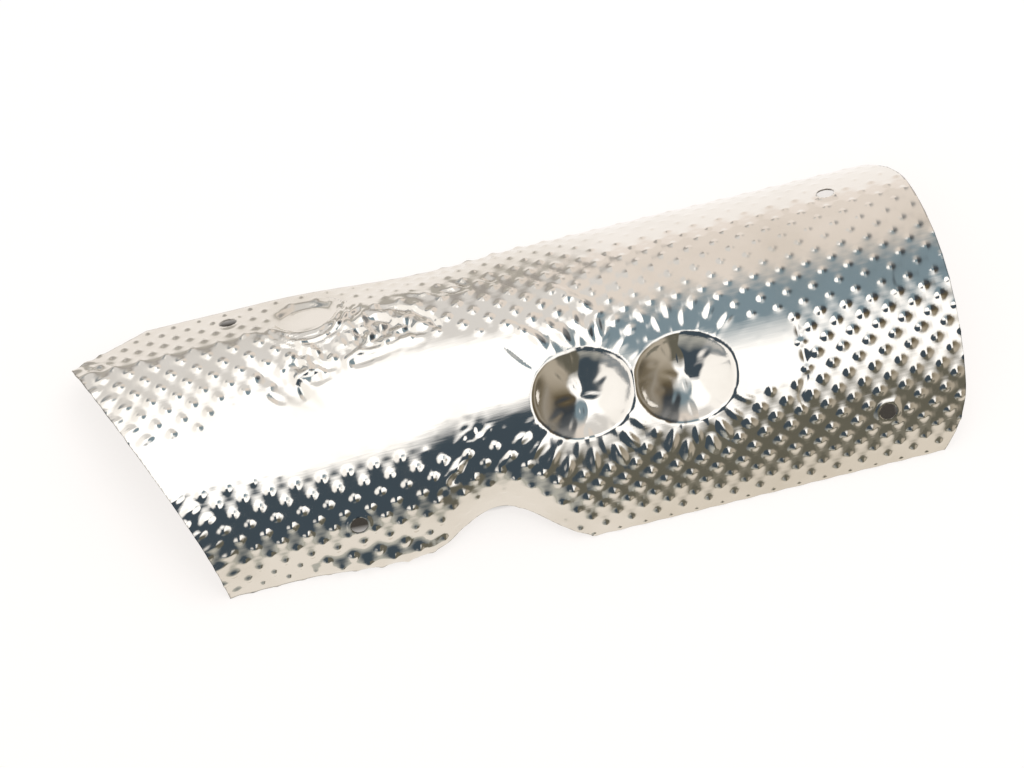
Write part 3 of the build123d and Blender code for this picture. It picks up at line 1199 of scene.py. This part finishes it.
def outside_tunnel(tree, parts):
    """Where the floor has a painted shadow: 0 on the floor deep under the shield, 1 elsewhere."""
    across = calculate(tree, "MULTIPLY_ADD", parts["X"], UNDER_TURN, parts["Y"])
    shares = []
    for place, (middle, first, last) in ((parts["X"], UNDER_ALONG), (across, UNDER_ACROSS)):
        from_middle = calculate(tree, "SUBTRACT", place, middle)
        away = calculate(tree, "ABSOLUTE", from_middle)
        shares.append(map_range(tree, away, (first, last)))
    return calculate(tree, "MAXIMUM", *shares)


def floor_finish(colour):
    """A pale floor with a soft shadow, white to the camera and warm in the sheet's mirror, with a
    painted shadow deep under the shield.
    """
    material, tree = new_material("floor")
    place = place_on(tree)
    parts = split_place(tree, place)
    # Painted shadow: deep under the shield the floor's colour turns dark
    outside = outside_tunnel(tree, parts)
    plain = add_node(
        tree, "ShaderNodeBsdfPrincipled", "BSDF",
        {
            "Base Color": mix(tree, outside, opaque(UNDER_SHADE), opaque(colour)),
            "Roughness": FLOOR_ROUGHNESS,
        }
    )
    # Painted shadow: deep under the shield the floor's white to the camera turns dark
    tint = mix(tree, outside, opaque(UNDER_TINT), opaque(FLOOR_TINT))
    path = tree.nodes.new("ShaderNodeLightPath").outputs
    seen = calculate(tree, "MULTIPLY", path["Is Camera Ray"], FLOOR_SEEN)
    pale = add_node(
        tree, "ShaderNodeMixShader", "Shader", {0: seen, 1: plain, 2: glow(tree, tint, FLOOR_WHITE)}
    )
    left, right = [
        colour_ramp(tree, parts["Y"], FLOOR_SPAN, card_edges(cards))
        for cards in (FLOOR_LEFT, FLOOR_RIGHT)
    ]
    mirrored = colour_change(tree, place, FLOOR_CHANGE_AT, left, right)
    both = add_node(
        tree, "ShaderNodeMixShader", "Shader",
        {0: path["Is Glossy Ray"], 1: pale, 2: glow(tree, mirrored, TENT_BRIGHTEST)}
    )
    show(tree, both)
    return material


def new_floor(finish):
    """The wide floor, just below the shield's edges."""
    bm = bmesh.new()
    bmesh.ops.create_grid(bm, x_segments=2, y_segments=2, size=FLOOR_HALF_WIDTH)
    bmesh.ops.translate(bm, vec=(0, 0, CAD_BOX[0].z - FLOOR_GAP), verts=bm.verts)
    return new_piece("floor", bm, floor_finish(finish.floor))


def new_tent():
    """The tent, half an egg on the floor that only the mirroring sheet sees."""
    across, up = TENT_SEGMENTS
    bm = bmesh.new()
    bmesh.ops.create_uvsphere(bm, u_segments=across, v_segments=up, radius=1)
    bmesh.ops.scale(bm, vec=(TENT_HALF_LENGTH, TENT_RADIUS, TENT_RADIUS), verts=bm.verts)
    bmesh.ops.bisect_plane(
        bm, geom=bm.verts[:] + bm.edges[:] + bm.faces[:], dist=MM,
        plane_co=(0, 0, TENT_FOOT), plane_no=(0, 0, 1), clear_inner=True
    )
    tent = new_piece("tent", bm, tent_cloth())
    tent.visible_camera = False
    tent.visible_diffuse = False
    tent.visible_shadow = False
    return tent


def soft_lamp():
    """One soft lamp from above, which the sheet doesn't mirror."""
    lamp = bpy.data.lights.new("soft_lamp", "AREA")
    lamp.shape = "SQUARE"
    lamp.size = LAMP_SIZE
    lamp.energy = LAMP_POWER
    lamp.color = LAMP_COLOUR
    holder = bpy.data.objects.new("soft_lamp", lamp)
    holder.location = LAMP_AT
    holder.rotation_mode = "QUATERNION"
    holder.rotation_quaternion = (-Vector(LAMP_AT)).to_track_quat("-Z", "Y")
    holder.visible_glossy = False
    bpy.context.scene.collection.objects.link(holder)


class SHIELD_OT_stage(bpy.types.Operator):
    """Sets up the pale floor, the soft tent, the lamp and the white surroundings"""

    bl_idname = "shield.stage"
    bl_label = "Stage"

    def execute(self, context):
        scene = context.scene
        floor = new_floor(scene.shield_finish)
        tent = new_tent()
        soft_lamp()
        world = bpy.data.worlds.new("white_surroundings")
        scene.world = world
        world.use_nodes = True
        sky = world.node_tree.nodes["Background"]
        sky.inputs["Color"].default_value = (1, 1, 1, 1)
        sky.inputs["Strength"].default_value = SKY_STRENGTH
        scene.view_settings.view_transform = "Standard"
        return {"FINISHED"}


# The camera looks down on the shield from a little to the front and to the left
CAMERA_AIM = Vector((-3.64, -1.07, 20)) * MM
CAMERA_DISTANCE = 1.4
CAMERA_LEAN_X = math.radians(4.35)
CAMERA_LEAN_Y = math.radians(15.654)
CAMERA_ROLL = math.radians(-13.685)
CAMERA_LENS = 153.64
CAMERA_SENSOR = 36
CAMERA_NEAR = 0.05
CAMERA_FAR = 50


class SHIELD_OT_camera(bpy.types.Operator):
    """Sets the camera at the photograph's viewing angle"""

    bl_idname = "shield.camera"
    bl_label = "Camera"

    def execute(self, context):
        back = Vector((-math.tan(CAMERA_LEAN_X), -math.tan(CAMERA_LEAN_Y), 1)).normalized()
        right = (Vector((1, 0, 0)) - back * back.x).normalized()
        up = back.cross(right)
        turned_right = math.cos(CAMERA_ROLL) * right + math.sin(CAMERA_ROLL) * up
        turned_up = math.cos(CAMERA_ROLL) * up - math.sin(CAMERA_ROLL) * right
        axes = Matrix((turned_right, turned_up, back)).transposed()
        lens = bpy.data.cameras.new("camera")
        lens.sensor_width = CAMERA_SENSOR
        lens.lens = CAMERA_LENS
        lens.clip_start = CAMERA_NEAR
        lens.clip_end = CAMERA_FAR
        camera = bpy.data.objects.new("camera", lens)
        camera.location = CAMERA_AIM + CAMERA_DISTANCE * back
        camera.rotation_mode = "QUATERNION"
        camera.rotation_quaternion = axes.to_quaternion()
        context.scene.collection.objects.link(camera)
        context.scene.camera = camera
        return {"FINISHED"}


class SHIELD_PT_panel(bpy.types.Panel):
    """The shield's sizes and finish, with its steps"""

    bl_idname = "SHIELD_PT_panel"
    bl_label = "Heat shield"
    bl_space_type = "VIEW_3D"
    bl_region_type = "UI"
    bl_category = "Heat Shield"

    def draw(self, context):
        for group in (context.scene.shield_sizes, context.scene.shield_finish):
            for name in group.__annotations__:
                self.layout.prop(group, name)
        for step in (SHIELD_OT_heat_shield, SHIELD_OT_stage, SHIELD_OT_camera):
            self.layout.operator(step.bl_idname)


CLASSES = (
    ShieldSizes,
    ShieldFinish,
    SHIELD_OT_heat_shield,
    SHIELD_OT_stage,
    SHIELD_OT_camera,
    SHIELD_PT_panel,
)


def register():
    """Makes the shield's settings, steps and panel known."""
    for cls in CLASSES:
        bpy.utils.register_class(cls)
    bpy.types.Scene.shield_sizes = PointerProperty(type=ShieldSizes)
    bpy.types.Scene.shield_finish = PointerProperty(type=ShieldFinish)


def unregister():
    """Takes them away again."""
    del bpy.types.Scene.shield_finish
    del bpy.types.Scene.shield_sizes
    for cls in reversed(CLASSES):
        bpy.utils.unregister_class(cls)


def main():
    """Builds the shield and its stage, and sets the camera."""
    register()
    bpy.ops.shield.heat_shield()
    bpy.ops.shield.stage()
    bpy.ops.shield.camera()


if __name__ == "__main__":
    main()
